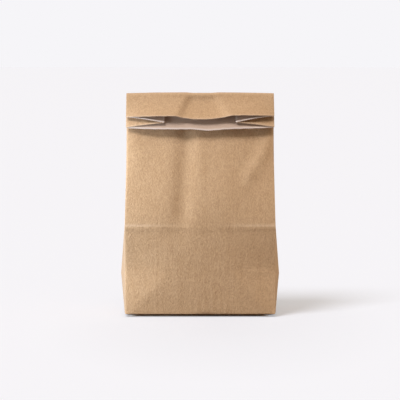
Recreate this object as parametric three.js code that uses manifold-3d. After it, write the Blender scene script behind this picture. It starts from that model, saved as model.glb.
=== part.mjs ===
// A paper food bag: block bottom, gusseted sides, pinked mouth, and its top turned over once to the front.
// The bag is one folded and glued sheet, so it is one solid: a thin wall that is open at the mouth.
// Millimetres, +Z up, the front towards -Y, the origin in the middle of the base.
import * as THREE from 'three';
import { mergeVertices } from 'three/addons/utils/BufferGeometryUtils.js';
import Module from 'manifold-3d';

// The sheet
const panelWidth = 150; // front and back panel, from fold to fold
const gussetHalf = 39; // half of a side panel, from its corner fold to its middle fold
const paper = 0.25; // thickness of one wall
const cornerRadius = 0.28; // fold between a panel and a side
const middleFoldGap = 0.32; // half of the space that a closed gusset keeps at its middle fold

// The standing body
const baseEdgeRadius = 2.7; // the base lifts off the table round its rim
const creaseHeight = 90; // crease across the panels, left from the flat-folded bag
const creaseRise = 0.5; // how far the crease stands out
const creaseWidth = 3.6;
const dentDrop = 5.8; // the crease has a dent this far below it
const dentDepth = 0.7;
const foldHeight = 217.4; // where the top starts to turn over
const leanPower = 1.25; // how the panels close in between the crease and the fold
const waist = 0.6; // the panels are this much narrower half way up their closing part, on each side
const sideBulge = 5.6; // how far the side stands out at the top of its base triangle
const popHeight = 112; // here the side turns from standing out to folding in
const popReach = 70; // height over which it folds in
const popPower = 1.9;
const popStart = 0.25; // how far on the turn inwards is where the side passes flat
const popRate = 2; // and how many times as fast as the fold it goes on
const bellyUpper = 2.2; // crown of the panels above the crease
const bellyLower = 1.0; // crown of the panels below it
const softFoldEdge = 12; // the front's soft folds fade out over this distance from its edges

// The turned-over top
const layerGap = 3.6; // front panel to back panel where the bag is flat
const foldRadius = 0.95; // inside of the fold
const flapLength = 28.1; // middle of the stack of layers, from the fold to the mouth
const outerLipDip = 3.0; // the outer lip hangs lower between the gussets, where the fold wraps fewer layers
const outerDipPlace = 3; // lowest place of that lip, to the right of the middle
const outerDipStart = 28; // distance from there where it starts to
const outerDipFull = 5;
const innerLipDip = 3.4; // the inner lip sags in one shallow curve
const flapStandOff = 3.2; // the middle of the lip stands off the body
const gapSpread = 0.3; // share by which the two lips part in the middle
const toothPitch = 2.4; // pinked edge of the mouth
const toothDepth = 0.75;

// The glued joints
const seamWidth = 13; // overlap of the long seam up the back panel
const seamPlace = -47; // middle of that overlap
const seamRamp = 0.6; // width of the ramp at its two edges
const baseLayers = 3; // sheets glued over each other in the block bottom
const baseGlueInset = 0.6; // from the base's round rim to the edge of the inner layers
const bottomFlapReach = 11; // how far the outer bottom flap goes past the middle of the base
const bottomFlapInset = 0.8; // its hinge edge stays this far inside the rim's round
const longestMitre = 0.7; // a sharp fold's wall is offset by at most one over this

// How finely the sheet is divided
const panelSteps = 12;
const gussetSteps = 4; // also the steps up the base triangle
const closingSteps = 10;
const foldSteps = 8;
const flapSteps = 5;
const rimSteps = 3;
const baseRings = 3;

const halfWidth = panelWidth / 2;
const halfDepth = gussetHalf;
const gapHalf = layerGap / 2;
const foldMiddle = foldRadius + gapHalf; // radius of the middle of the stack round the fold
const closing = foldHeight - creaseHeight;
const leanAngle = Math.atan((leanPower * (halfDepth - gapHalf)) / closing);
const foldTurn = Math.PI - leanAngle;
const closedInset = gussetHalf - cornerRadius - middleFoldGap; // from the edge to a closed side's middle fold
const secondSheet = 1.5 * paper; // middle of the base's second sheet, above the outer bottom flap
const dentHeight = creaseHeight - dentDrop;
const quarter = Math.PI / 2;

const clamp01 = (value) => Math.min(1, Math.max(0, value));
const ease = (value) => clamp01(value) ** 2 * (3 - 2 * clamp01(value));
const bump = (distance, width) => Math.exp(-((distance / width) ** 2));
const steps = (count) => Array.from({ length: count + 1 }, (_, step) => step / count);

// Half of the bag's depth at a height: full up to the crease, then closing in to the flat top.
function depthAt(height) {
  const share = clamp01((height - creaseHeight) / closing);
  return halfDepth - (halfDepth - gapHalf) * share ** leanPower;
}

function widthAt(height) {
  return halfWidth - waist * Math.sin(Math.PI * clamp01((height - creaseHeight) / closing));
}

// How far a side's middle fold lies outside (+) or inside (-) of the bag's edge.
function sideAt(height) {
  if (height < gussetHalf) return (sideBulge * height) / gussetHalf;
  if (height < popHeight) return (sideBulge * (popHeight - height)) / (popHeight - gussetHalf);
  const share = clamp01((height - popHeight) / popReach);
  return -closedInset * (1 - (1 - share) ** popPower) * ease(share * popRate + popStart);
}

// The soft folds that handling has left in the upper front, each from one place to another.
// A place is a share of the panel's half width and a share of the way from the crease to the top fold.
const place = (across, up) => new THREE.Vector2(across * halfWidth, creaseHeight + up * closing);
const softFolds = [
  // A long valley, a ridge in the middle and a ridge that slants down from the right edge
  { from: place(-0.21, 0.83), to: place(-0.2, 0.17), rise: -1.5, width: 9, fade: 20 },
  { from: place(0, 0.67), to: place(0.01, 0.39), rise: 0.7, width: 6, fade: 14 },
  { from: place(0.93, 0.71), to: place(0.65, 0.38), rise: 1.5, width: 7.5, fade: 14 },
];

function softFoldAt(x, height) {
  const inside = ease((halfWidth - Math.abs(x)) / softFoldEdge) * ease((foldHeight - height) / softFoldEdge);
  return inside * softFolds.reduce((sum, { from, to, rise, width, fade }) => {
    const line = to.clone().sub(from);
    const length = line.length();
    const offset = new THREE.Vector2(x, height).sub(from);
    const along = offset.dot(line) / length;
    const past = Math.max(0, -along, along - length);
    return sum + rise * bump(offset.cross(line) / length, width) * bump(past, fade);
  }, 0);
}

// The crown, the crease and the soft folds of a panel: how far it stands out of its plane.
function reliefAt(x, height, back) {
  const across = Math.cos(quarter * clamp01(Math.abs(x) / halfWidth));
  const lower = bellyLower * Math.sin(Math.PI * clamp01(height / creaseHeight));
  const upper = bellyUpper * Math.sin(Math.PI * clamp01((height - creaseHeight) / closing));
  const rise = creaseRise * bump(height - creaseHeight, creaseWidth);
  const dent = dentDepth * bump(height - dentHeight, creaseWidth);
  const soft = back < 0 ? softFoldAt(x, height) : 0;
  return across * (lower + upper) + rise - dent + soft;
}

// The lines that run up the sheet from the base to the mouth, once round the bag, anticlockwise from above.
// Each has the side of the bag that it lies on: right (+1) or left (-1), and back (+1) or front (-1).
function panelColumns(back) {
  const reach = halfWidth - cornerRadius;
  let places = steps(panelSteps).map((share) => ({ x: reach * (2 * share - 1), seam: 0 }));
  if (back > 0) {
    const low = seamPlace - seamWidth / 2;
    const high = seamPlace + seamWidth / 2;
    const edges = [[low - seamRamp, 0], [low, 1], [high, 1], [high + seamRamp, 0]];
    const clear = panelWidth / panelSteps / 4; // no other column stands this near to an edge of the seam
    places = places
      .filter(({ x }) => Math.abs(x) >= reach || edges.every(([edge]) => Math.abs(x - edge) > clear))
      .map(({ x }) => ({ x, seam: x > low && x < high ? 1 : 0 }))
      .concat(edges.map(([x, seam]) => ({ x, seam })));
  }
  places.sort((a, b) => (a.x - b.x) * -back);
  return places.map((place) => ({ kind: 'panel', back, ...place }));
}

function sideColumns(right) {
  const first = -right; // the right side runs from the front to the back, the left one from back to front
  const shares = steps(gussetSteps).slice(1, -1);
  const half = (back) => shares.map((share) => ({ kind: 'gusset', right, back, share }));
  const corner = (back) => [0.5, 1].map((turn) => ({ kind: 'corner', right, back, turn }));
  const nose = [first, 0, -first].map((back) => ({ kind: 'nose', right, back }));
  return [...corner(first), ...half(first), ...nose, ...half(-first).reverse(), ...corner(-first).reverse()];
}

const columns = [...panelColumns(-1), ...sideColumns(1), ...panelColumns(1), ...sideColumns(-1)];

// The place of a column in a level section, as x and depth from the middle of the stack.
function sectionPoint(column, { width, depth, side, height }) {
  const turned = Math.atan2(-side, depth); // how far the side has turned in from standing square
  const start = new THREE.Vector2(width - cornerRadius, depth - cornerRadius);
  const cornerAt = (turn) => {
    const angle = quarter - turn * (quarter + turned);
    const around = new THREE.Vector2(Math.cos(angle), Math.sin(angle)).multiplyScalar(cornerRadius);
    return around.add(start);
  };
  const noseEnd = new THREE.Vector2(width + side + middleFoldGap * Math.sin(turned), middleFoldGap);
  if (column.kind === 'panel') {
    const reach = (column.x / (halfWidth - cornerRadius)) * (width - cornerRadius);
    return new THREE.Vector2(reach, column.back * (depth + reliefAt(reach, height, column.back)));
  }
  let point;
  if (column.kind === 'corner') {
    point = cornerAt(column.turn);
  } else if (column.kind === 'gusset') {
    const { share } = column;
    const climbed = clamp01(height / gussetHalf);
    const triangle = side > 0 ? sideBulge * (Math.min(share, climbed) - share * climbed) : 0;
    point = cornerAt(1).lerp(noseEnd, share);
    point.x += triangle;
  } else {
    point = column.back ? noseEnd : new THREE.Vector2(width + side, 0);
  }
  return new THREE.Vector2(point.x * column.right, point.y * column.back);
}

// Unit normals of a closed outline, lengthened at its corners so that the wall keeps its thickness.
function outlineNormals(outline) {
  const count = outline.length;
  const edgeNormal = (from, to) => new THREE.Vector2(to.y - from.y, from.x - to.x).normalize();
  return outline.map((point, index) => {
    const before = edgeNormal(outline[(index + count - 1) % count], point);
    const after = edgeNormal(point, outline[(index + 1) % count]);
    const sum = before.clone().add(after).normalize();
    return sum.divideScalar(Math.max(longestMitre, sum.dot(after)));
  });
}

// One ring of the sheet: the outside and the inside point of every column.
// put places a point of the section in space, tilt turns the wall's normal down under the base.
function makeRing(shape, { put, tilt = 0, layers = 1, outerLift = () => 0 }) {
  const outline = columns.map((column) => sectionPoint(column, shape));
  const normals = outlineNormals(outline);
  const offset = (index, distance) => {
    const point = outline[index].clone().addScaledVector(normals[index], distance * Math.cos(tilt));
    const result = put(point, columns[index]);
    result.z -= distance * Math.sin(tilt);
    return result;
  };
  return {
    outer: columns.map((column, index) => {
      const seam = tilt === 0 && column.seam ? paper : 0;
      const point = offset(index, paper / 2 + seam);
      point.z += outerLift(column);
      return point;
    }),
    inner: columns.map((_, index) => offset(index, paper / 2 - layers * paper)),
  };
}

// The base: flat rings from the middle outwards, then the round rim up to the wall.
function baseRingList() {
  const flat = (inset, layers) => makeRing(
    { width: halfWidth - inset, depth: halfDepth - inset, side: 0, height: 0 },
    {
      put: (point) => new THREE.Vector3(point.x, point.y, secondSheet),
      tilt: quarter,
      layers,
      outerLift: (column) => (column.kind === 'gusset' || column.kind === 'nose' ? paper : 0),
    },
  );
  const rimInset = baseEdgeRadius + baseGlueInset;
  const deepest = halfDepth - cornerRadius - 2 * middleFoldGap;
  const rings = steps(baseRings).map((share) => flat(deepest + (rimInset - deepest) * share, baseLayers));
  const radius = baseEdgeRadius - paper / 2;
  const rim = steps(rimSteps).slice(0, -1).map((share) => {
    const angle = quarter * (1 - share);
    const inset = radius * (1 - Math.cos(angle));
    const height = secondSheet + radius * (1 - Math.sin(angle));
    return makeRing(
      { width: halfWidth - inset, depth: halfDepth - inset, side: 0, height: 0 },
      { put: (point) => new THREE.Vector3(point.x, point.y, height), tilt: angle },
    );
  });
  return [...rings, ...rim];
}

// The standing body: level rings at the heights where the sheet bends, and evenly where it closes in.
function bodyRingList() {
  const start = baseEdgeRadius + paper;
  const triangle = steps(gussetSteps).slice(1).map((share) => gussetHalf * share);
  const bottom = dentHeight - 2 * creaseWidth;
  const between = (gussetHalf + bottom) / 2;
  const top = creaseHeight + creaseWidth;
  const crease = [bottom, dentHeight, (dentHeight + creaseHeight) / 2, creaseHeight, top];
  const rising = steps(closingSteps).slice(1).map((share) => top + (foldHeight - top) * share);
  return [start, ...triangle, between, ...crease, ...rising].map((height) => makeRing(
    { width: widthAt(height), depth: depthAt(height), side: sideAt(height), height },
    { put: (point) => new THREE.Vector3(point.x, point.y, height) },
  ));
}

// Share of the stack's half thickness that a column wraps round the fold: 1 at the back, -1 at the front.
function wrapOf(column) {
  if (column.kind === 'gusset') return column.back * (1 - column.share);
  return column.kind === 'nose' ? 0 : column.back;
}

// Length of the flap at a column: every part of the sheet has the same length, so an outer layer ends sooner.
function lipLength(column) {
  let dip = 0;
  if (column.kind === 'panel' && column.back > 0) {
    const aside = Math.abs(column.x - outerDipPlace);
    dip = outerLipDip * ease((outerDipStart - aside) / (outerDipStart - outerDipFull));
  } else if (column.kind === 'panel') {
    dip = innerLipDip * Math.cos(quarter * clamp01(Math.abs(column.x) / halfWidth));
  }
  return flapLength - foldTurn * gapHalf * wrapOf(column) + dip;
}

// A point of the stack at an angle round the fold and a length past it.
function foldPlace(point, turn, length) {
  const across = foldMiddle + point.y;
  return new THREE.Vector3(
    point.x,
    -foldMiddle + across * Math.cos(turn) - length * Math.sin(turn),
    foldHeight + across * Math.sin(turn) + length * Math.cos(turn),
  );
}

const flatShape = { width: halfWidth, depth: gapHalf, side: -closedInset, height: foldHeight };

function foldRingList() {
  return steps(foldSteps).slice(1).map((share) => makeRing(
    flatShape,
    { put: (point) => foldPlace(point, foldTurn * share, 0) },
  ));
}

// The flap's points at a share of the way to the cut edge, less the length that the teeth still need.
function flapRing(share, shortBy) {
  return makeRing(flatShape, {
    put: (point, column) => {
      const middle = Math.cos(quarter * clamp01(Math.abs(point.x) / halfWidth)) ** 2;
      const spread = new THREE.Vector2(point.x, point.y * (1 + gapSpread * middle * share));
      spread.y += flapStandOff * middle * share ** 2;
      return foldPlace(spread, foldTurn, lipLength(column) * share - shortBy);
    },
  });
}

function flapRingList() {
  const shares = steps(flapSteps).slice(1);
  return shares.map((share) => flapRing(share, share === 1 ? 2 * toothDepth : 0));
}

// Builds the closed skin: points are added once, and faces refer to them by number.
class Skin {
  constructor() {
    this.positions = [];
    this.faces = [];
  }

  add(point) {
    this.positions.push(point.x, point.y, point.z);
    return this.positions.length / 3 - 1;
  }

  addAll(points) {
    return points.map((point) => this.add(point));
  }

  face(a, b, c, flipped) {
    this.faces.push(...(flipped ? [a, c, b] : [a, b, c]));
  }

  // The strip between two rings. Its diagonals run up towards the middle fold of each side.
  strip(low, high, flipped) {
    low.forEach((_, index) => {
      const next = (index + 1) % low.length;
      const column = columns[index];
      const pastMiddleFold = column.kind !== 'panel' && column.back === column.right;
      if (pastMiddleFold) {
        this.face(low[index], low[next], high[index], flipped);
        this.face(low[next], high[next], high[index], flipped);
      } else {
        this.face(low[index], low[next], high[next], flipped);
        this.face(low[index], high[next], high[index], flipped);
      }
    });
  }

  // The flat patch inside the base's innermost ring.
  cap(ring, points, flipped) {
    const outline = points.map((point) => new THREE.Vector2(point.x, point.y));
    THREE.ShapeUtils.triangulateShape(outline, []).forEach(([a, b, c]) => {
      this.face(ring[a], ring[c], ring[b], flipped);
    });
  }

  geometry() {
    const geometry = new THREE.BufferGeometry();
    geometry.setAttribute('position', new THREE.Float32BufferAttribute(this.positions, 3));
    geometry.setIndex(this.faces);
    return geometry;
  }
}

// The pinked edge: between two columns the cut goes out to a tooth and back, as often as the pitch fits.
function addPinkedEdge(skin, lastIndex) {
  const valley = flapRing(1, toothDepth);
  const tooth = flapRing(1, 0);
  const cut = ['outer', 'inner'].map((side) => {
    const starts = skin.addAll(valley[side]);
    return columns.map((_, index) => {
      const next = (index + 1) % columns.length;
      const width = valley.outer[index].distanceTo(valley.outer[next]);
      const count = Math.round(width / toothPitch);
      const points = [starts[index]];
      for (let half = 1; half < 2 * count; half += 1) {
        const share = half / (2 * count);
        const line = half % 2 ? tooth[side] : valley[side];
        points.push(skin.add(line[index].clone().lerp(line[next], share)));
      }
      return [...points, starts[next]];
    });
  });
  ['outer', 'inner'].forEach((side, which) => {
    cut[which].forEach((points, index) => {
      const near = lastIndex[side][index];
      const far = lastIndex[side][(index + 1) % columns.length];
      const middle = Math.floor(points.length / 2);
      for (let step = 1; step < points.length; step += 1) {
        skin.face(step <= middle ? near : far, points[step], points[step - 1], which === 1);
      }
      skin.face(near, far, points[middle], which === 1);
    });
  });
  cut[0].forEach((points, index) => {
    for (let step = 1; step < points.length; step += 1) {
      skin.face(points[step - 1], points[step], cut[1][index][step], false);
      skin.face(points[step - 1], cut[1][index][step], cut[1][index][step - 1], false);
    }
  });
}

function sheetGeometry() {
  const rings = [...baseRingList(), ...bodyRingList(), ...foldRingList(), ...flapRingList()];
  const skin = new Skin();
  const last = {};
  ['outer', 'inner'].forEach((side) => {
    const flipped = side === 'inner';
    let below = skin.addAll(rings[0][side]);
    skin.cap(below, rings[0][side], flipped);
    rings.slice(1).forEach((ring) => {
      const above = skin.addAll(ring[side]);
      skin.strip(below, above, flipped);
      below = above;
    });
    last[side] = below;
  });
  addPinkedEdge(skin, last);
  return skin.geometry();
}

// The outer flap of the block bottom: a trapezium with its ends folded at 45 degrees, one sheet thick.
function bottomFlapGeometry() {
  const hinge = baseEdgeRadius + bottomFlapInset;
  const length = halfDepth + bottomFlapReach - hinge;
  const nearHalf = halfWidth - hinge;
  const outline = new THREE.Shape([
    new THREE.Vector2(-nearHalf, -halfDepth + hinge),
    new THREE.Vector2(nearHalf, -halfDepth + hinge),
    new THREE.Vector2(nearHalf - length, bottomFlapReach),
    new THREE.Vector2(length - nearHalf, bottomFlapReach),
  ]);
  return new THREE.ExtrudeGeometry(outline, { depth: secondSheet, bevelEnabled: false });
}

const wasm = await Module();
wasm.setup();

function solidOf(geometry) {
  const bare = geometry.clone();
  bare.deleteAttribute('normal');
  bare.deleteAttribute('uv');
  const merged = mergeVertices(bare, 1e-4);
  return new wasm.Manifold(new wasm.Mesh({
    numProp: 3,
    vertProperties: new Float32Array(merged.attributes.position.array),
    triVerts: new Uint32Array(merged.index.array),
  }));
}

function geometryOf(solid) {
  const mesh = solid.getMesh();
  const geometry = new THREE.BufferGeometry();
  geometry.setAttribute('position', new THREE.Float32BufferAttribute(mesh.vertProperties, 3));
  geometry.setIndex(new THREE.Uint32BufferAttribute(mesh.triVerts, 1));
  geometry.computeVertexNormals();
  return geometry;
}

const kraft = new THREE.MeshStandardMaterial({ color: 0xc4a077, roughness: 0.82, metalness: 0 });

const sheet = new THREE.Mesh(geometryOf(solidOf(sheetGeometry()).add(solidOf(bottomFlapGeometry()))), kraft);
sheet.name = 'paper_bag';

const bag = new THREE.Group();
bag.add(sheet);

export default bag;
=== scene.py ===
"""A standing paper food bag with its top turned over once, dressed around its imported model."""

import logging
import math
from collections.abc import Callable
from dataclasses import dataclass, field
from enum import Enum

import bpy
import numpy as np
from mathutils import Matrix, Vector


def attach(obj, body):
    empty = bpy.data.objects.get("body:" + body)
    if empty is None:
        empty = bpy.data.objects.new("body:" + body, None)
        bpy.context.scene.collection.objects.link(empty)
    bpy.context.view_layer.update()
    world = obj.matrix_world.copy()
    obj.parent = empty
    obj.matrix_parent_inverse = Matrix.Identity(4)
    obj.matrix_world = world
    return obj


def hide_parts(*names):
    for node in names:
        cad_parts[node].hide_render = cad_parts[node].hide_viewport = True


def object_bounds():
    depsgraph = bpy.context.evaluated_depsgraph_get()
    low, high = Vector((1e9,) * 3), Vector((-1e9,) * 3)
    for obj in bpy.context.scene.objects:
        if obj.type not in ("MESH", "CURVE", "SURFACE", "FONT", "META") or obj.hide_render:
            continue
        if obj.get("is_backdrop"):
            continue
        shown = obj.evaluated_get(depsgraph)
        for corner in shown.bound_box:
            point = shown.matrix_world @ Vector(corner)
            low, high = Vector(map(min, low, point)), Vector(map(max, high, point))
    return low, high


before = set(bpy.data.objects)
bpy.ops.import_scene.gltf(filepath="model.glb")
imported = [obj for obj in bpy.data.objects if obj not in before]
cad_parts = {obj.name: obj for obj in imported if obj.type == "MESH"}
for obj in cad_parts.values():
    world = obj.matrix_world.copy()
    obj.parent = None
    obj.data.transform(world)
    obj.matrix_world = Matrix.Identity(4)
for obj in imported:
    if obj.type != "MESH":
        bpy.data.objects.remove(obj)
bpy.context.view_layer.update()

log = logging.getLogger("paper_bag")

MM = 0.001
QUARTER = math.pi / 2
# mesh attribute of how much paler the paper is: rubbed folds, and painted highlights along the crease and the
# lip
WEAR_AND_HIGHLIGHT_NAME = "fold_wear_and_highlight"
LONGEST_MITRE = 4 / 3  # the most that a corner's normal is lengthened

Triple = tuple[float, float, float]
Colour = Triple
Socket = bpy.types.NodeSocket
Placer = Callable[[np.ndarray], np.ndarray]


class Wall(Enum):
    """The faces of the sheet and its cut edge, with the numbers of their materials."""

    OUTSIDE = 0
    INSIDE = 1
    CUT = 2


class Place(Enum):
    """The part of the bag that a line up the sheet belongs to. The nose is a side's middle fold."""

    PANEL = "panel"
    CORNER = "corner"
    GUSSET = "gusset"
    NOSE = "nose"


Line = tuple[Place, float, float, float, float]


def ease(value: np.ndarray | float) -> np.ndarray | float:
    """Smooth step from 0 to 1.

    Args:
        value: Share of the way, which is held between 0 and 1.

    Returns:
        The eased share.
    """
    share = np.clip(value, 0.0, 1.0)
    return share * share * (3 - 2 * share)


def bump(distance: np.ndarray | float, width: float) -> np.ndarray | float:
    """Bell curve of height 1.

    Args:
        distance: Distance from its middle.
        width: Distance at which it has fallen to about a third.

    Returns:
        Its height there.
    """
    return np.exp(-((distance / width) ** 2))


@dataclass(frozen=True)
class SoftFold:
    """A soft ridge or dent along a straight line on a panel, in millimetres across and up."""

    start: tuple[float, float]
    end: tuple[float, float]
    rise: float
    width: float
    fade: float = 14.0

    def height(self, x: np.ndarray, z: np.ndarray) -> np.ndarray:
        """How far the fold lifts the paper.

        Args:
            x: Places across the panel.
            z: Places up the panel.

        Returns:
            The lift at each place.
        """
        ax, az = self.start
        dx, dz = self.end[0] - ax, self.end[1] - az
        length = math.hypot(dx, dz)
        along = ((x - ax) * dx + (z - az) * dz) / length
        aside = ((x - ax) * dz - (z - az) * dx) / length
        past = np.maximum(np.maximum(-along, along - length), 0)
        return self.rise * bump(aside, self.width) * bump(past, self.fade)


@dataclass(frozen=True)
class Ripples:
    """A patch of small waves, from the paper drying unevenly."""

    middle: tuple[float, float]
    reach: tuple[float, float]
    pitch: float
    rise: float

    def height(self, x: np.ndarray, z: np.ndarray) -> np.ndarray:
        """How far the waves lift the paper.

        Args:
            x: Places across the panel.
            z: Places up the panel.

        Returns:
            The lift at each place.
        """
        patch = bump(x - self.middle[0], self.reach[0]) * bump(z - self.middle[1], self.reach[1])
        return self.rise * patch * np.cos(2 * math.pi * (x - self.middle[0]) / self.pitch)


@dataclass(frozen=True)
class Buckle:
    """The slight unevenness of handled paper, as a seeded sum of waves that are drawn out up the sheet."""

    seed: int
    rise: float
    shortest: float
    longest: float
    waves: int = 22
    upright: float = 0.6

    def height(self, u: np.ndarray, v: np.ndarray) -> np.ndarray:
        """How far the buckles lift the paper.

        Args:
            u: Places across the sheet.
            v: Places up the sheet.

        Returns:
            The lift at each place.
        """
        draw = np.random.default_rng(self.seed)
        total = np.zeros(np.broadcast(u, v).shape)
        weight = 0.0
        for _ in range(self.waves):
            length = draw.uniform(self.shortest, self.longest)
            turn, phase = draw.uniform(0, math.pi), draw.uniform(0, 2 * math.pi)
            share = length / self.longest
            way = u * math.cos(turn) + self.upright * v * math.sin(turn)
            total = total + share * np.sin(2 * math.pi * way / length + phase)
            weight += share * share
        return self.rise * total / math.sqrt(weight)


@dataclass(frozen=True)
class BagSizes:
    """The bag's sizes in millimetres.

    Width, depth, layers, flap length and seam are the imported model's. The rest is fitted to the photograph.
    """

    # the sheet and its standing folds
    panel_width: float = 150.0
    gusset_half: float = 39.0
    paper: float = 0.25
    corner_radius: float = 0.28
    middle_fold_gap: float = 0.32

    # the base
    base_layers: int = 3
    base_glue_inset: float = 0.6
    base_lift: float = 2.8
    base_lift_reach: float = 16.0
    base_fold_radius: float = 0.6
    bottom_flap_reach: float = 11.0
    bottom_flap_inset: float = 6.3

    # the crease across the body, which is weaker towards its middle
    crease_height: float = 92.0
    crease_rise: float = 0.35
    crease_drop: float = 2.4
    crease_dip: float = 0.1
    crease_width: float = 2.8
    crease_dip_widths: float = 2.2
    crease_middle_loss: float = 0.45
    crease_weak_from: float = 0.1875
    crease_weak_to: float = 0.8125

    # the body's narrowing, and its sides that bulge below and pop inwards above
    waist: float = 0.8
    top_narrowing: float = 0.7
    side_bulge: float = 5.6
    pop_height: float = 113.0
    pop_reach: float = 70.0
    pop_power: float = 1.9
    pop_ease_start: float = 0.25
    pop_ease_rate: float = 2.0
    side_bow_depth: float = 2.4
    side_bow_above: float = 38.0
    side_bow_spread: float = 20.0

    # the panels: their lean, belly, rolled edges, facets beside the base and soft folds
    lean_power: float = 1.4
    belly_upper: float = 1.5
    belly_lower: float = 0.4
    belly_power: float = 0.8
    roll_depth: float = 2.0
    roll_width: float = 13.0
    roll_height: float = 166.0
    roll_spread: float = 27.0
    facet_slope: float = 0.085
    facet_top: float = 45.0
    facet_least: float = 1.0
    facet_round: float = 0.1
    soft_fold_edge: float = 10.0
    soft_fold_top: float = 16.0
    soft_fold_base: float = 7.0

    # the flat top and its fold, whose outer layer sinks in between the gussets
    fold_height: float = 219.0
    layer_gap: float = 3.6
    fold_radius: float = 0.95
    top_arch: float = 0.9
    nose_arch_loss: float = 0.8
    middle_sink: float = 2.5
    sink_start: float = 0.3
    sink_rate: float = 4.0
    sink_left: float = -11.0
    sink_left_lip: float = -21.0
    sink_left_edge: float = 9.0
    sink_right: float = 15.0
    sink_right_lip: float = 27.0
    sink_right_edge: float = 10.0

    # the flap, how far it stands off the body, and its two lips
    flap_length: float = 28.1
    stand_off_left: float = 0.9
    stand_off_right: float = 2.6
    stand_off_middle: float = 4.8
    stand_off_power: float = 1.5
    hump_power: int = 4
    lip_parting: float = 2.4
    outer_lip_dip: float = 2.8
    outer_lip_fill: float = 1.9
    outer_dip_place: float = 3.0
    outer_dip_start: float = 33.0
    outer_dip_full: float = 3.0
    outer_lip_extra: float = 0.7
    outer_lip_tilt: float = 0.35
    inner_lip_dip: float = 3.3
    inner_tip_dip: float = 1.6
    inner_tip_place: float = 10.0
    inner_tip_width: float = 12.0
    inner_lip_extra: float = 1.3
    nose_lip_extra: float = 3.1
    lip_wobble: Buckle = Buckle(seed=5, rise=0.16, shortest=4.0, longest=14.0)
    lips_apart: float = 300.0

    # the pinked mouth
    tooth_pitch: float = 1.9
    tooth_depth: float = 0.55

    # the glued seam on the back
    seam_width: float = 13.0
    seam_place: float = -47.0
    seam_ramp: float = 1.0
    seam_step: float = 0.11

    @property
    def half_width(self) -> float:
        """Half of a panel's width."""
        return self.panel_width / 2

    @property
    def gap_half(self) -> float:
        """Half of the flat bag's thickness."""
        return self.layer_gap / 2

    @property
    def base_level(self) -> float:
        """Height of the base sheet's middle, which lies on the bottom flap."""
        return 1.5 * self.paper

    @property
    def fold_middle(self) -> float:
        """Radius of the middle of the layers round the top fold."""
        return self.fold_radius + self.gap_half

    @property
    def closing(self) -> float:
        """Height over which the bag closes in, from the crease to the top fold."""
        return self.fold_height - self.crease_height

    @property
    def fold_turn(self) -> float:
        """Angle that the top turns through, so that the flap lies along the front panel."""
        lean = math.atan(self.lean_power * (self.gusset_half - self.gap_half) / self.closing)
        return math.pi - lean

    @property
    def closed_inset(self) -> float:
        """Middle fold of the closed gusset, from the bag's edge."""
        return self.gusset_half - self.corner_radius - self.middle_fold_gap


@dataclass(frozen=True)
class PanelDents:
    """The creases and dents that the photograph shows on the front, and like ones for the back."""

    front: tuple[SoftFold, ...] = (
        SoftFold(start=(-13.0, 196.0), end=(-17.0, 112.0), rise=-2.4, width=9.0, fade=22.0),
        SoftFold(start=(0.0, 176.0), end=(1.0, 140.0), rise=0.5, width=6.0),
        SoftFold(start=(75.0, 180.0), end=(53.0, 147.0), rise=1.8, width=6.5),
        SoftFold(start=(-44.0, 196.0), end=(-50.0, 150.0), rise=-0.5, width=12.0, fade=20.0),
        SoftFold(start=(24.0, 188.0), end=(24.0, 130.0), rise=1.3, width=16.0, fade=20.0),
        SoftFold(start=(80.0, 44.3), end=(54.0, 45.0), rise=0.42, width=2.0),
        SoftFold(start=(-80.0, 45.0), end=(-52.0, 45.0), rise=0.24, width=2.2),
    )
    back: tuple[SoftFold, ...] = (
        SoftFold(start=(18.0, 190.0), end=(30.0, 118.0), rise=-1.3, width=10.0, fade=20.0),
        SoftFold(start=(-66.0, 178.0), end=(-50.0, 136.0), rise=1.2, width=8.0),
        SoftFold(start=(4.0, 168.0), end=(-6.0, 128.0), rise=0.8, width=9.0),
        SoftFold(start=(52.0, 182.0), end=(60.0, 140.0), rise=0.8, width=9.0),
        SoftFold(start=(80.0, 44.0), end=(44.0, 44.5), rise=0.3, width=2.4),
    )
    panels_apart: float = 400.0
    ripples: Ripples = Ripples(middle=(5.0, 10.0), reach=(14.0, 12.0), pitch=7.5, rise=0.16)
    buckle: Buckle = Buckle(seed=11, rise=0.13, shortest=16.0, longest=60.0)


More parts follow.
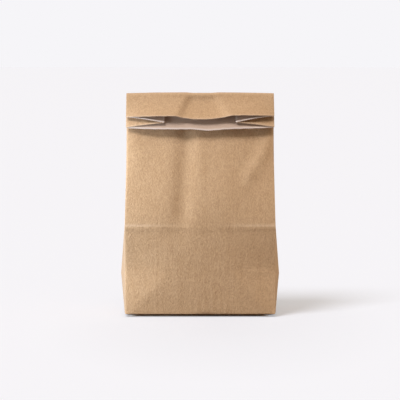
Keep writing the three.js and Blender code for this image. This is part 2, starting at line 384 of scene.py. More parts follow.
class SheetLines:
    """The lines that run up the sheet from the base to the mouth, anticlockwise from above."""

    def __init__(self, sizes: BagSizes, panel_steps: int, gusset_steps: int, turn_steps: int) -> None:
        """Lays the lines out once round the bag.

        Args:
            sizes: The bag's sizes.
            panel_steps: Spaces across a panel.
            gusset_steps: Spaces across half a side.
            turn_steps: Spaces round a fold.
        """
        self.sizes = sizes
        rows: list[Line] = []
        rows += self._panel(-1, panel_steps)
        rows += self._side(1, gusset_steps, turn_steps)
        rows += self._panel(1, panel_steps)
        rows += self._side(-1, gusset_steps, turn_steps)
        self.count = len(rows)
        self.right, self.back, self.value, self.seam = np.array([row[1:] for row in rows]).T
        self.is_panel, self.is_corner, self.is_gusset, self.is_nose = (
            np.array([row[0] is place for row in rows]) for place in Place
        )

    def _panel(self, back: int, count: int) -> list[Line]:
        """The lines of a panel.

        Args:
            back: -1 for the front panel, +1 for the back one.
            count: Spaces across it.

        Returns:
            The lines, in the order that goes round the bag.
        """
        sizes = self.sizes
        reach = sizes.half_width - sizes.corner_radius
        places = {float(x): 0.0 for x in np.linspace(-reach, reach, count + 1)}
        if back > 0:
            low = sizes.seam_place - sizes.seam_width / 2
            high = sizes.seam_place + sizes.seam_width / 2
            edges = {low - sizes.seam_ramp: 0.0, low: 1.0, high: 1.0, high + sizes.seam_ramp: 0.0}
            clear = sizes.panel_width / count / 3
            kept = [x for x in places if abs(x) >= reach or min(abs(x - edge) for edge in edges) > clear]
            places = {x: float(low < x < high) for x in kept} | edges
        ordered = sorted(places.items(), reverse=back > 0)
        return [(Place.PANEL, 0.0, back, x, seam) for x, seam in ordered]

    def _side(self, right: int, gusset_steps: int, turn_steps: int) -> list[Line]:
        """The lines of a side, with both its corner folds.

        Args:
            right: +1 for the right side, -1 for the left one.
            gusset_steps: Spaces across half a side.
            turn_steps: Spaces round a fold.

        Returns:
            The lines, in the order that goes round the bag.
        """
        first = -right
        shares = [step / gusset_steps for step in range(1, gusset_steps)]
        turns = [step / turn_steps for step in range(1, turn_steps + 1)]

        def half(back: int) -> list[Line]:
            """One half of the side, from its corner fold to its middle fold.

            Args:
                back: -1 for the front half, +1 for the back one.

            Returns:
                Its lines.
            """
            corner = [(Place.CORNER, right, back, turn, 0.0) for turn in turns]
            flat = [(Place.GUSSET, right, back, share, 0.0) for share in shares]
            nose = [(Place.NOSE, right, back, 1 - turn, 0.0) for turn in [0.0, *turns[:-1]]]
            return corner + flat + nose

        tip = [(Place.NOSE, right, 0.0, 0.0, 0.0)]
        return half(first) + tip + half(-first)[::-1]


class BagForm:
    """Where every point of the sheet lies: level sections up the body, then the flat top and its flap."""

    def __init__(self, sizes: BagSizes, lines: SheetLines, dents: PanelDents) -> None:
        """Keeps what the form is worked out from.

        Args:
            sizes: The bag's sizes.
            lines: The lines up the sheet.
            dents: The panels' creases and dents.
        """
        self.sizes = sizes
        self.lines = lines
        self.dents = dents

    def depth_at(self, height: float) -> float:
        """Half of the bag's depth at a height.

        Args:
            height: Height above the table.

        Returns:
            The half depth.
        """
        sizes = self.sizes
        share = float(np.clip((height - sizes.crease_height) / sizes.closing, 0, 1))
        return sizes.gusset_half - (sizes.gusset_half - sizes.gap_half) * share**sizes.lean_power

    def width_at(self, height: float) -> float:
        """Half of the bag's width at a height.

        Args:
            height: Height above the table.

        Returns:
            The half width.
        """
        sizes = self.sizes
        share = float(np.clip((height - sizes.crease_height) / sizes.closing, 0, 1))
        return sizes.half_width - sizes.waist * math.sin(math.pi * share) - sizes.top_narrowing * share

    def side_at(self, height: float) -> float:
        """How far a side's middle fold lies outside (+) or inside (-) of the bag's edge at a height.

        Args:
            height: Height above the table.

        Returns:
            The distance.
        """
        sizes = self.sizes
        if height < sizes.gusset_half:
            return sizes.side_bulge * height / sizes.gusset_half
        if height < sizes.pop_height:
            return sizes.side_bulge * (sizes.pop_height - height) / (sizes.pop_height - sizes.gusset_half)
        share = float(np.clip((height - sizes.pop_height) / sizes.pop_reach, 0, 1))
        eased = ease(share * sizes.pop_ease_rate + sizes.pop_ease_start)
        return -sizes.closed_inset * (1 - (1 - share) ** sizes.pop_power) * eased

    def crease_at(self, height: float) -> float:
        """How far the crease across the bag stands out at its ends, with the dent below it.

        Args:
            height: Height above the table.

        Returns:
            The distance.
        """
        sizes = self.sizes
        above = height - sizes.crease_height + sizes.crease_drop
        rise = sizes.crease_rise * float(bump(above, sizes.crease_width))
        below = above + sizes.crease_dip_widths * sizes.crease_width
        return rise - sizes.crease_dip * float(bump(below, sizes.crease_width))

    def facet_at(self, height: float) -> float:
        """How far the corner folds lean back beside the base's triangles.

        Args:
            height: Height above the table.

        Returns:
            The distance.
        """
        sizes = self.sizes
        if height < sizes.facet_top:
            return sizes.facet_slope * height
        past = (height - sizes.facet_top) / (sizes.crease_height - sizes.facet_top)
        return sizes.facet_slope * sizes.facet_top * (1 - ease(past))

    def roll_at(self, height: float) -> float:
        """How far a panel's edges roll back where its side folds in."""
        sizes = self.sizes
        return sizes.roll_depth * float(bump(height - sizes.roll_height, sizes.roll_spread))

    def relief(self, x: np.ndarray, height: float, back: np.ndarray) -> np.ndarray:
        """How far a panel stands out of its plane.

        Args:
            x: Places across the panel.
            height: Height above the table.
            back: +1 for points of the back panel, -1 for the front.

        Returns:
            The crown, creases and dents together.
        """
        sizes, dents = self.sizes, self.dents
        climbed = np.clip(height / sizes.crease_height, 0, 1)
        closed = np.clip((height - sizes.crease_height) / sizes.closing, 0, 1)
        aside = np.clip(np.abs(x) / sizes.half_width, 0, 1)
        across = np.cos(QUARTER * aside) ** sizes.belly_power
        lower = sizes.belly_lower * math.sin(math.pi * climbed)
        upper = sizes.belly_upper * math.sin(math.pi * closed)
        outwards = (aside - sizes.crease_weak_from) / (sizes.crease_weak_to - sizes.crease_weak_from)
        crease = -sizes.crease_middle_loss * (1 - ease(outwards)) * self.crease_at(height)
        z = np.full_like(x, height)
        fade = ease((sizes.fold_height - height) / sizes.soft_fold_top) * ease(height / sizes.soft_fold_base)
        fade = fade * ease((sizes.half_width - np.abs(x)) / sizes.soft_fold_edge)
        front = sum(fold.height(x, z) for fold in dents.front) + dents.ripples.height(x, z)
        rear = sum(fold.height(x, z) for fold in dents.back)
        buckle = dents.buckle.height(x + dents.panels_apart * (back > 0), z)
        inwards = np.maximum(sizes.half_width - np.abs(x), 0)
        turn = sizes.facet_round
        facet_share = np.clip(inwards / max(min(height, sizes.facet_top), sizes.facet_least), 0, 1 + turn)
        rounded = facet_share - np.maximum(facet_share - (1 - turn), 0) ** 2 / (4 * turn)
        facet = self.facet_at(height) * rounded
        rolled = self.roll_at(height) * (1 - (1 - np.minimum(1, inwards / sizes.roll_width)) ** 2)
        soft = np.where(back > 0, rear, front) + buckle
        return across * (lower + upper) + crease + facet + rolled + fade * soft

    def section(self, width: float, depth: float, side: float, height: float) -> np.ndarray:
        """A level section through the sheet's middle.

        Args:
            width: Half of the bag's width there.
            depth: Half of its depth there.
            side: How far the middle folds lie outside the edge.
            height: Height above the table.

        Returns:
            One row for each line up the sheet: across, and away from the middle of the layers.
        """
        sizes, lines = self.sizes, self.lines
        depth = depth + self.crease_at(height) - self.facet_at(height) - self.roll_at(height)
        turned = math.atan2(-side, depth)
        radius, gap = sizes.corner_radius, sizes.middle_fold_gap
        centre = np.array([width - radius, depth - radius])
        turn = np.where(lines.is_corner, lines.value, 1.0)
        angle = QUARTER - turn * (QUARTER + turned)
        corner = centre + radius * np.stack([np.cos(angle), np.sin(angle)], axis=1)
        nose_reach = gap * math.sin(turned)
        nose_end = np.array([width + side + nose_reach, gap])
        share = np.where(lines.is_gusset, lines.value, 0.0)[:, None]
        gusset = corner * (1 - share) + nose_end * share
        climbed = float(np.clip(height / sizes.gusset_half, 0, 1))
        if side > 0:
            triangle = sizes.side_bulge * (np.minimum(share, climbed) - share * climbed)
            gusset[:, :1] += triangle
        bowed = self.side_bow(height) * 4 * share * (1 - share)
        gusset[:, :1] += bowed
        swing = QUARTER * np.where(lines.is_nose, lines.value, 0.0)
        nose = np.stack([width + side + nose_reach * (1 - np.cos(swing)), gap * np.sin(swing)], axis=1)
        points = np.where(lines.is_corner[:, None], corner, np.where(lines.is_gusset[:, None], gusset, nose))
        points = points * np.stack([lines.right, np.where(lines.back == 0, 1, lines.back)], axis=1)
        reach = lines.value / (sizes.half_width - radius) * (width - radius)
        out = lines.back * (depth + self.relief(reach, height, lines.back))
        return np.where(lines.is_panel[:, None], np.stack([reach, out], axis=1), points)

    def side_bow(self, height: float) -> float:
        """How far the halves of a side bow outwards, most where the side turns in.

        Args:
            height: Height above the table.

        Returns:
            The distance.
        """
        sizes = self.sizes
        above = height - sizes.pop_height - sizes.side_bow_above
        return sizes.side_bow_depth * float(bump(above, sizes.side_bow_spread))

    @staticmethod
    def normals(outline: np.ndarray) -> np.ndarray:
        """Normals of a closed outline, lengthened at its corners so that the wall keeps its thickness.

        Args:
            outline: The outline's points.

        Returns:
            A normal for each point.
        """
        ahead = np.roll(outline, -1, axis=0) - outline
        edge = np.stack([ahead[:, 1], -ahead[:, 0]], axis=1)
        edge /= np.linalg.norm(edge, axis=1)[:, None]
        total = edge + np.roll(edge, 1, axis=0)
        total /= np.linalg.norm(total, axis=1)[:, None]
        return total / np.maximum(1 / LONGEST_MITRE, (total * edge).sum(axis=1))[:, None]

    def wrap(self) -> np.ndarray:
        """Share of the layers' half thickness that each line wraps round the fold.

        Returns:
            The shares, from -1 to 1.
        """
        lines = self.lines
        gusset = lines.back * (1 - lines.value)
        return np.where(lines.is_nose, 0.0, np.where(lines.is_gusset, gusset, lines.back))

    def sink_at(self, x: np.ndarray, share: float) -> np.ndarray:
        """How far the flap's outer layer sinks in between the gussets, where fewer layers lie under it.

        Args:
            x: Places across the flap.
            share: Share of the way from the fold to the lip.

        Returns:
            1 in the sunk middle and 0 over the gussets.
        """
        sizes = self.sizes
        left = sizes.sink_left + (sizes.sink_left_lip - sizes.sink_left) * share
        right = sizes.sink_right + (sizes.sink_right_lip - sizes.sink_right) * share
        return ease((x - left) / sizes.sink_left_edge + 0.5) * ease((right - x) / sizes.sink_right_edge + 0.5)

    def lip_length(self) -> np.ndarray:
        """Length of the flap at each line, as every line up the sheet is about equally long.

        Returns:
            The lengths, with each lip's own shape.
        """
        sizes, lines = self.sizes, self.lines
        x = lines.value
        aside = np.abs(x - sizes.outer_dip_place)
        dip_share = (sizes.outer_dip_start - aside) / (sizes.outer_dip_start - sizes.outer_dip_full)
        outer = sizes.outer_lip_dip * ease(dip_share) + sizes.outer_lip_fill * self.hump(x)
        tip = sizes.inner_tip_dip * bump(x - sizes.inner_tip_place, sizes.inner_tip_width)
        inner = sizes.inner_lip_dip * self.hump(x) + tip
        along = np.where(lines.is_panel, x / sizes.half_width, lines.right)
        outer_extra = sizes.outer_lip_extra - sizes.outer_lip_tilt * along
        corner_extra = np.where(lines.back > 0, outer_extra, sizes.inner_lip_extra)
        share = np.where(lines.is_gusset, lines.value, np.where(lines.is_nose, 1.0, 0.0))
        extra = corner_extra * (1 - share) + sizes.nose_lip_extra * share
        shifted = x + sizes.lips_apart * (lines.back > 0)
        wobble = sizes.lip_wobble.height(shifted, np.zeros_like(x)) * self.hump(x)
        dip = np.where(lines.is_panel, np.where(lines.back > 0, outer, inner) + wobble, 0.0)
        end_arch = 1 - sizes.nose_arch_loss * share
        arch = sizes.top_arch * np.where(lines.is_panel, (x / sizes.half_width) ** 2, end_arch)
        return sizes.flap_length - sizes.fold_turn * sizes.gap_half * self.wrap() + dip + extra - arch

    def stand_off(self, x: np.ndarray, share: float) -> np.ndarray:
        """How far the flap stands off the body: little at its left end, more at its right.

        Args:
            x: Places across the flap.
            share: Share of the way from the fold to the lip.

        Returns:
            The distance at each place.
        """
        sizes = self.sizes
        along = x / sizes.half_width
        ends = sizes.stand_off_left + (sizes.stand_off_right - sizes.stand_off_left) * ease(along * 0.5 + 0.5)
        middle = sizes.stand_off_middle * self.hump(x)
        return (ends + middle) * share**sizes.stand_off_power

    def hump(self, x: np.ndarray) -> np.ndarray:
        """A broad rise along the flap: nothing at its ends and 1 over most of its middle."""
        return 1 - np.clip(np.abs(x) / self.sizes.half_width, 0, 1) ** self.sizes.hump_power


@dataclass
class Ring:
    """One closed ring of the sheet: its outside and inside points, and how much paler the paper is there,
    from rubbing and from painted highlights.
    """

    outer: np.ndarray
    inner: np.ndarray
    wear_and_highlight: np.ndarray

    def on(self, wall: Wall) -> np.ndarray:
        """Its points on one face of the sheet."""
        return self.outer if wall is Wall.OUTSIDE else self.inner


@dataclass(frozen=True)
class WearAndHighlight:
    """How much paler the paper is at its folds, from 0 to 1, and how far that spreads in millimetres: mostly
    from rubbing, but along the crease and the lip partly a painted highlight.
    """

    # paler along the crease: partly rubbing, partly a painted highlight on its ridge
    crease: float = 0.8
    crease_spread: float = 1.3
    corner: float = 0.5
    panel_edge: float = 0.35
    panel_edge_spread: float = 1.6
    diagonal: float = 0.5
    diagonal_spread: float = 1.2
    middle_fold: float = 0.5
    top_fold: float = 0.45
    # paler along the lip: partly rubbing and cut fibres, partly a painted highlight along the edge
    lip: float = 0.9
    lip_spread: float = 0.9
    flap_fold: float = 0.4
    cut: float = 0.8


@dataclass
class RingMaker:
    """Turns sections of the form into rings of points in space."""

    form: BagForm
    wear_and_highlight: WearAndHighlight = WearAndHighlight()
    rim_steps: int = 6
    base_rings: int = 5
    body_step: float = 2.4
    body_start: float = 0.2
    last_step: float = 0.4
    closest: float = 0.35
    crease_rings: tuple[float, ...] = (-6.0, -3.6, -1.2, -0.6, 0.0, 0.6, 1.2)
    facet_rings: tuple[float, ...] = (-0.8, 0.0, 0.8)
    fold_steps: int = 18
    flap_steps: int = 14

    def ring(
        self,
        outline: np.ndarray,
        place: Placer,
        tilt: float = 0.0,
        layers: int = 1,
        wear_and_highlight: np.ndarray | None = None,
        lift: float = 0.0,
    ) -> Ring:
        """Offsets a section to both faces of the sheet and puts it into space.

        Args:
            outline: The section's points.
            place: Puts an array of section points into space.
            tilt: How far the wall's normal is turned down, under the base.
            layers: Sheets glued over each other there.
            wear_and_highlight: How much paler each point is, from 0 to 1, from rubbing and from painted
                highlights.
            lift: How far the sides' outer points are raised, under the base.

        Returns:
            The ring.
        """
        sizes, lines = self.form.sizes, self.form.lines
        normals = self.form.normals(outline)
        seam = sizes.seam_step * lines.seam * (tilt == 0)
        down = np.array([0.0, 0.0, math.sin(tilt)])

        def offset(distance: np.ndarray | float) -> np.ndarray:
            """The ring's points at a distance from the sheet's middle."""
            distance = np.broadcast_to(distance, (lines.count,))[:, None]
            return place(outline + normals * distance * math.cos(tilt)) - down * distance

        outer = offset(sizes.paper / 2 + seam)
        outer[:, 2] += lift * (lines.is_gusset | lines.is_nose)
        inner = offset(sizes.paper / 2 - layers * sizes.paper)
        return Ring(outer, inner, np.zeros(lines.count) if wear_and_highlight is None else wear_and_highlight)

    def base(self) -> list[Ring]:
        """The flat base from its middle outwards, then its round rim.

        Returns:
            The rings, outwards.
        """
        sizes, form = self.form.sizes, self.form
        level = sizes.base_level
        radius = sizes.base_fold_radius
        rim_inset = radius + sizes.base_glue_inset
        deepest = sizes.gusset_half - sizes.corner_radius - 2 * sizes.middle_fold_gap
        rings = []
        far = np.linspace(deepest, sizes.base_lift_reach, self.base_rings + 1)
        near = np.linspace(sizes.base_lift_reach, rim_inset, 2 * self.base_rings + 1)[1:]
        for inset in [*far, *near]:
            outline = form.section(sizes.half_width - inset, sizes.gusset_half - inset, 0, 0)
            height = level + self.lift_at(inset)
            place = level_place(height)
            rings.append(self.ring(outline, place, QUARTER, sizes.base_layers, lift=sizes.paper))
        level += self.lift_at(radius)
        for step in range(self.rim_steps):
            angle = QUARTER * (1 - step / self.rim_steps)
            inset = radius * (1 - math.cos(angle))
            height = level + radius * (1 - math.sin(angle))
            outline = form.section(sizes.half_width - inset, sizes.gusset_half - inset, 0, 0)
            rings.append(self.ring(outline, level_place(height), angle, wear_and_highlight=self.body_wear_and_highlight(height)))
        return rings

    def lift_at(self, inset: float) -> float:
        """How far the base stands off the table at a distance in from its edge."""
        sizes = self.form.sizes
        return sizes.base_lift * max(0.0, 1 - inset / sizes.base_lift_reach) ** 2

    def body_wear_and_highlight(self, height: float) -> np.ndarray:
        """Where the standing body's folds and creases are paler: rubbed lighter, and along the crease also a
        painted highlight.

        Args:
            height: Height above the table.

        Returns:
            How much paler each line is there.
        """
        sizes, lines, wear_and_highlight = self.form.sizes, self.form.lines, self.wear_and_highlight
        aside = np.where(lines.is_panel, np.abs(lines.value), math.inf)
        outwards = np.where(lines.is_panel, ease(aside / sizes.half_width), 0.0)
        # along the crease: partly rubbing, partly a painted highlight on its ridge
        crease = wear_and_highlight.crease * bump(height - sizes.crease_height, wear_and_highlight.crease_spread) * outwards
        corner = wear_and_highlight.corner * lines.is_corner
        edge = wear_and_highlight.panel_edge * bump(aside - sizes.half_width, wear_and_highlight.panel_edge_spread)
        climbed = height / sizes.gusset_half
        off_diagonal = (lines.value - climbed) * sizes.gusset_half
        diagonal = wear_and_highlight.diagonal * bump(off_diagonal, wear_and_highlight.diagonal_spread) * lines.is_gusset * (climbed < 1)
        middle = wear_and_highlight.middle_fold * lines.is_nose * (climbed > 1)
        return np.clip(crease + corner + edge + diagonal + middle, 0, 1)

    def body(self) -> list[Ring]:
        """Level rings up the standing body, closest where it is creased.

        Returns:
            The rings, upwards.
        """
        sizes, form = self.form.sizes, self.form
        rim = sizes.base_level + self.lift_at(sizes.base_fold_radius) + sizes.base_fold_radius
        start, end = rim + self.body_start, sizes.fold_height - self.last_step * self.body_step
        heights = set(np.arange(start, end, self.body_step)) | {sizes.fold_height}
        heights |= {sizes.crease_height + shift for shift in self.crease_rings}
        heights |= {sizes.gusset_half + shift for shift in self.facet_rings}
        rings = []
        last = -self.closest
        for height in sorted(heights):
            if height - last < self.closest:
                continue
            last = height
            outline = form.section(form.width_at(height), form.depth_at(height), form.side_at(height), height)
            rings.append(self.ring(outline, level_place(height), wear_and_highlight=self.body_wear_and_highlight(height)))
        return rings

    def flat_section(self, share: float) -> np.ndarray:
        """Section of the flat top, shaped as the flap is at a share of the way to its lip.

        Args:
            share: The share.

        Returns:
            The section's points.
        """
        sizes, form, lines = self.form.sizes, self.form, self.form.lines
        width = form.width_at(sizes.fold_height)
        points = form.section(width, sizes.gap_half, -sizes.closed_inset, sizes.fold_height)
        x = points[:, 0]
        sunk = form.sink_at(x, share) * sizes.middle_sink * (lines.is_panel & (lines.back > 0))
        points[:, 1] += form.stand_off(x, share) - sunk * ease(share * sizes.sink_rate + sizes.sink_start)
        points[:, 1] += sizes.lip_parting * share**2 * form.hump(x) * np.maximum(form.wrap(), 0)
        return points

    def fold_place(self, turn: float, length: np.ndarray | float) -> Placer:
        """Where a section goes at an angle round the fold and a length past it.

        Args:
            turn: The angle.
            length: The length, or one for each point.

        Returns:
            A function that puts the section's points there.
        """
        sizes = self.form.sizes

        def place(points: np.ndarray) -> np.ndarray:
            """Puts a section's points round the fold and along the flap.

            Args:
                points: The section's points.

            Returns:
                The points in space.
            """
            across = sizes.fold_middle + points[:, 1]
            arch = sizes.top_arch * (points[:, 0] / sizes.half_width) ** 2 * math.sin(min(turn, QUARTER))
            return np.stack(
                [
                    points[:, 0],
                    -sizes.fold_middle + across * math.cos(turn) - length * math.sin(turn),
                    sizes.fold_height - arch + across * math.sin(turn) + length * math.cos(turn),
                ],
                axis=1,
            )

        return place

    def top(self) -> list[Ring]:
        """The rings round the top fold, then down the flap to where the teeth start.

        Returns:
            The rings, from the body on.
        """
        sizes, form, lines = self.form.sizes, self.form, self.form.lines
        rings = []
        for step in range(1, self.fold_steps + 1):
            share = step / self.fold_steps
            wear_and_highlight = np.full(lines.count, self.wear_and_highlight.top_fold * math.sin(math.pi * share))
            place = self.fold_place(sizes.fold_turn * share, 0)
            rings.append(self.ring(self.flat_section(0), place, wear_and_highlight=wear_and_highlight))
        full = form.lip_length()
        for step in range(1, self.flap_steps + 1):
            share = step / self.flap_steps
            short = 2 * sizes.tooth_depth if step == self.flap_steps else 0.0
            rings.append(self.flap_ring(share, full * share - short))
        return rings

    def flap_ring(self, share: float, length: np.ndarray) -> Ring:
        """A ring of the flap.

        Args:
            share: Share of the way to the lip.
            length: Length past the fold at each line.

        Returns:
            The ring.
        """
        sizes, lines = self.form.sizes, self.form.lines
        # band along the lip: partly rubbing and cut fibres, partly a painted highlight
        lip = self.wear_and_highlight.lip * bump((1 - share) * sizes.flap_length, self.wear_and_highlight.lip_spread)
        wear_and_highlight = np.clip(lip + self.wear_and_highlight.flap_fold * (lines.is_corner | lines.is_nose), 0, 1)
        return self.ring(self.flat_section(share), self.fold_place(sizes.fold_turn, length), wear_and_highlight=wear_and_highlight)


def level_place(height: float) -> Placer:
    """Where a level section goes.

    Args:
        height: Its height.

    Returns:
        A function that puts the section's points there.
    """

    def place(points: np.ndarray) -> np.ndarray:
        """Puts section points into space."""
        return np.column_stack([points, np.full(len(points), height)])

    return place


@dataclass
class SheetSkin:
    """Gathers the closed skin of the sheet: points, faces, and which face of the sheet each one shows."""

    points: list[np.ndarray] = field(default_factory=list)
    wear_and_highlight: list[np.ndarray] = field(default_factory=list)
    faces: list[tuple[int, ...]] = field(default_factory=list)
    walls: list[Wall] = field(default_factory=list)
    count: int = 0

    def add(self, points: np.ndarray, wear_and_highlight: np.ndarray | float) -> np.ndarray:
        """Adds points.

        Args:
            points: The points.
            wear_and_highlight: How much paler they are, from rubbing and from painted highlights.

        Returns:
            Their numbers.
        """
        self.points.append(points)
        self.wear_and_highlight.append(np.broadcast_to(wear_and_highlight, (len(points),)))
        numbers = np.arange(self.count, self.count + len(points))
        self.count += len(points)
        return numbers

    def face(self, corners: tuple[int, ...], wall: Wall) -> None:
        """Adds a face, turned round on the inside of the sheet."""
        self.faces.append(tuple(reversed(corners)) if wall is Wall.INSIDE else corners)
        self.walls.append(wall)

    def strip(self, low: np.ndarray, high: np.ndarray, wall: Wall) -> None:
        """Adds the faces between two rings, given by their points' numbers."""
        for a, b, c, d in zip(low, np.roll(low, -1), np.roll(high, -1), high):
            self.face((int(a), int(b), int(c), int(d)), wall)

    def mesh(self, name: str) -> bpy.types.Mesh:
        """Makes the mesh, in metres, with how much paler each point is, from rubbing and painted highlights,
        kept as an attribute.

        Args:
            name: The mesh's name.

        Returns:
            The mesh.
        """
        mesh = bpy.data.meshes.new(name)
        mesh.from_pydata((np.concatenate(self.points) * MM).tolist(), [], self.faces)
        mesh.polygons.foreach_set("material_index", [wall.value for wall in self.walls])
        mesh.polygons.foreach_set("use_smooth", [True] * len(self.faces))
        wear_and_highlight = mesh.attributes.new(WEAR_AND_HIGHLIGHT_NAME, "FLOAT", "POINT")
        wear_and_highlight.data.foreach_set("value", np.concatenate(self.wear_and_highlight).astype(np.float32))
        mesh.validate()
        mesh.update()
        return mesh


@dataclass(frozen=True)
class Grain:
    """One pattern in the paper: noise that draws its colour towards another and may lift its surface.

    The scale is in waves in a metre, and the noise from low to high counts as 0 to 1.
    """

    name: str
    scale: float
    low: float
    high: float
    share: float
    colour: Colour
    stretch: Triple = (1.0, 1.0, 1.0)
    detail: float = 3.0
    lift: float = 0.0
    roughness: float = 0.6


class NodeTree:
    """A short way to build the nodes of a material or of the sky."""

    def __init__(self, owner: bpy.types.Material | bpy.types.World, space: str) -> None:
        """Opens the owner's nodes.

        Args:
            owner: The material or world.
            space: The texture coordinates that its patterns lie in.
        """
        owner.use_nodes = True
        self.nodes = owner.node_tree.nodes
        self.links = owner.node_tree.links
        self.coordinates = self.nodes.new("ShaderNodeTexCoord").outputs[space]

    def put(self, socket: Socket, value: Socket | Triple | float) -> None:
        """Feeds a socket.

        Args:
            socket: The socket.
            value: Another node's result, a colour, a vector or a number.
        """
        if isinstance(value, bpy.types.NodeSocket):
            self.links.new(value, socket)
        elif socket.type == "RGBA":
            socket.default_value = (*value, 1)
        else:
            socket.default_value = value

    def seen(self) -> Socket:
        """1 for what the camera sees itself, and 0 for light on its way between surfaces."""
        return self.nodes.new("ShaderNodeLightPath").outputs["Is Camera Ray"]

    def number(self, operation: str, *values: Socket | float) -> Socket:
        """Works out a number from others.

        Args:
            operation: Name of the operation.
            values: What it works on, in order.

        Returns:
            The number.
        """
        node = self.nodes.new("ShaderNodeMath")
        node.operation = operation
        for socket, value in zip(node.inputs, values):
            self.put(socket, value)
        return node.outputs["Value"]

    def vector(self, operation: str, *values: Socket | Triple) -> bpy.types.Node:
        """Works out a vector or its length from others.

        Args:
            operation: Name of the operation.
            values: What it works on, in order.

        Returns:
            The node, which has an output for a vector and one for a length.
        """
        node = self.nodes.new("ShaderNodeVectorMath")
        node.operation = operation
        for socket, value in zip(node.inputs, values):
            self.put(socket, value)
        return node

    def ramp(self, value: Socket, low: float, high: float) -> Socket:
        """Spreads a value from low..high to 0..1.

        Args:
            value: The value.
            low: What becomes 0.
            high: What becomes 1.

        Returns:
            The spread value.
        """
        node = self.nodes.new("ShaderNodeMapRange")
        node.inputs["From Min"].default_value = low
        node.inputs["From Max"].default_value = high
        self.links.new(value, node.inputs["Value"])
        return node.outputs["Result"]

    def distance(self, middle: Triple, reach: Triple) -> Socket:
        """Distance from a place.

        Args:
            middle: The place.
            reach: What counts as 1 along each axis.

        Returns:
            The distance.
        """
        shift = self.vector("SUBTRACT", self.coordinates, middle).outputs["Vector"]
        stretched = self.vector("DIVIDE", shift, reach).outputs["Vector"]
        return self.vector("LENGTH", stretched).outputs["Value"]

    def mix(self, share: Socket, first: Socket | Colour, second: Socket | Colour) -> Socket:
        """Mixes two colours.

        Args:
            share: Share of the second.
            first: Colour at 0.
            second: Colour at 1.

        Returns:
            The mixed colour.
        """
        node = self.nodes.new("ShaderNodeMix")
        node.data_type = "RGBA"
        self.links.new(share, node.inputs["Factor"])
        colours = {socket.name: socket for socket in node.inputs if socket.type == "RGBA"}
        self.put(colours["A"], first)
        self.put(colours["B"], second)
        return next(socket for socket in node.outputs if socket.type == "RGBA")

    def pattern(self, grain: Grain) -> Socket:
        """One grain's noise.

        Args:
            grain: The grain.

        Returns:
            The noise, from 0 to 1.
        """
        mapping = self.nodes.new("ShaderNodeMapping")
        self.put(mapping.inputs["Scale"], grain.stretch)
        self.put(mapping.inputs["Vector"], self.coordinates)
        noise = self.nodes.new("ShaderNodeTexNoise")
        noise.label = grain.name
        self.put(noise.inputs["Vector"], mapping.outputs["Vector"])
        self.put(noise.inputs["Scale"], grain.scale)
        self.put(noise.inputs["Detail"], grain.detail)
        self.put(noise.inputs["Roughness"], grain.roughness)
        return self.ramp(noise.outputs["Fac"], grain.low, grain.high)


class Surface(NodeTree):
    """A material with one Principled shader."""

    def __init__(self, name: str, settings: dict[str, float]) -> None:
        """Starts the material.

        Args:
            name: Its name.
            settings: Uniform values, by the name of the shader's socket.
        """
        self.material = bpy.data.materials.new(name)
        super().__init__(self.material, "Object")
        self.shader = self.nodes["Principled BSDF"]
        for socket, value in settings.items():
            self.shader.inputs[socket].default_value = value

    def feed(self, socket: str, value: Socket | Colour) -> None:
        """Feeds one of the shader's sockets."""
        self.put(self.shader.inputs[socket], value)

    def attribute(self, name: str) -> Socket:
        """A value stored on the mesh.

        Args:
            name: Its name there.

        Returns:
            The value.
        """
        node = self.nodes.new("ShaderNodeAttribute")
        node.attribute_name = name
        return node.outputs["Fac"]

    def bump(self, height: Socket, distance: float, strength: float) -> None:
        """Bumps the surface by a height in 0..1 times a distance in metres.

        Args:
            height: The height, from 0 to about 1.
            distance: Metres that a height of 1 stands for.
            strength: Share of the bump that shows.
        """
        node = self.nodes.new("ShaderNodeBump")
        self.put(node.inputs["Distance"], distance)
        self.put(node.inputs["Strength"], strength)
        self.put(node.inputs["Height"], height)
        self.feed("Normal", node.outputs["Normal"])


@dataclass(frozen=True)
class PaperFinish:
    """A paper surface: its base colour, grains, paler folds (from rubbing, and partly painted highlights),
    gloss and bump.
    """

    name: str
    base: Colour
    grains: tuple[Grain, ...]
    worn_and_highlight: Colour = (0.0, 0.0, 0.0)
    wear_and_highlight_share: float = 0.0
    roughness: float = 0.9
    specular: float = 0.5
    sheen: float = 0.0
    bump_distance: float = 0.0
    bump_strength: float = 0.0

    def material(self) -> bpy.types.Material:
        """Builds the finish.

        Returns:
            Its material.
        """
        settings = {
            "Roughness": self.roughness,
            "Specular IOR Level": self.specular,
            "Sheen Weight": self.sheen,
        }
        surface = Surface(self.name, settings)
        tone, height = self.base, 0.0
        for grain in self.grains:
            pattern = surface.pattern(grain)
            tone = surface.mix(surface.number("MULTIPLY", pattern, grain.share), tone, grain.colour)
            if grain.lift:
                height = surface.number("MULTIPLY_ADD", pattern, grain.lift, height)
        # paler where folds are rubbed; along the crease and the lip this is partly a painted highlight
        if self.wear_and_highlight_share:
            wear_and_highlight_mix = surface.number("MULTIPLY", surface.attribute(WEAR_AND_HIGHLIGHT_NAME), self.wear_and_highlight_share)
            tone = surface.mix(wear_and_highlight_mix, tone, self.worn_and_highlight)
        surface.feed("Base Color", tone)
        if self.bump_strength:
            surface.bump(height, self.bump_distance, self.bump_strength)
        return surface.material


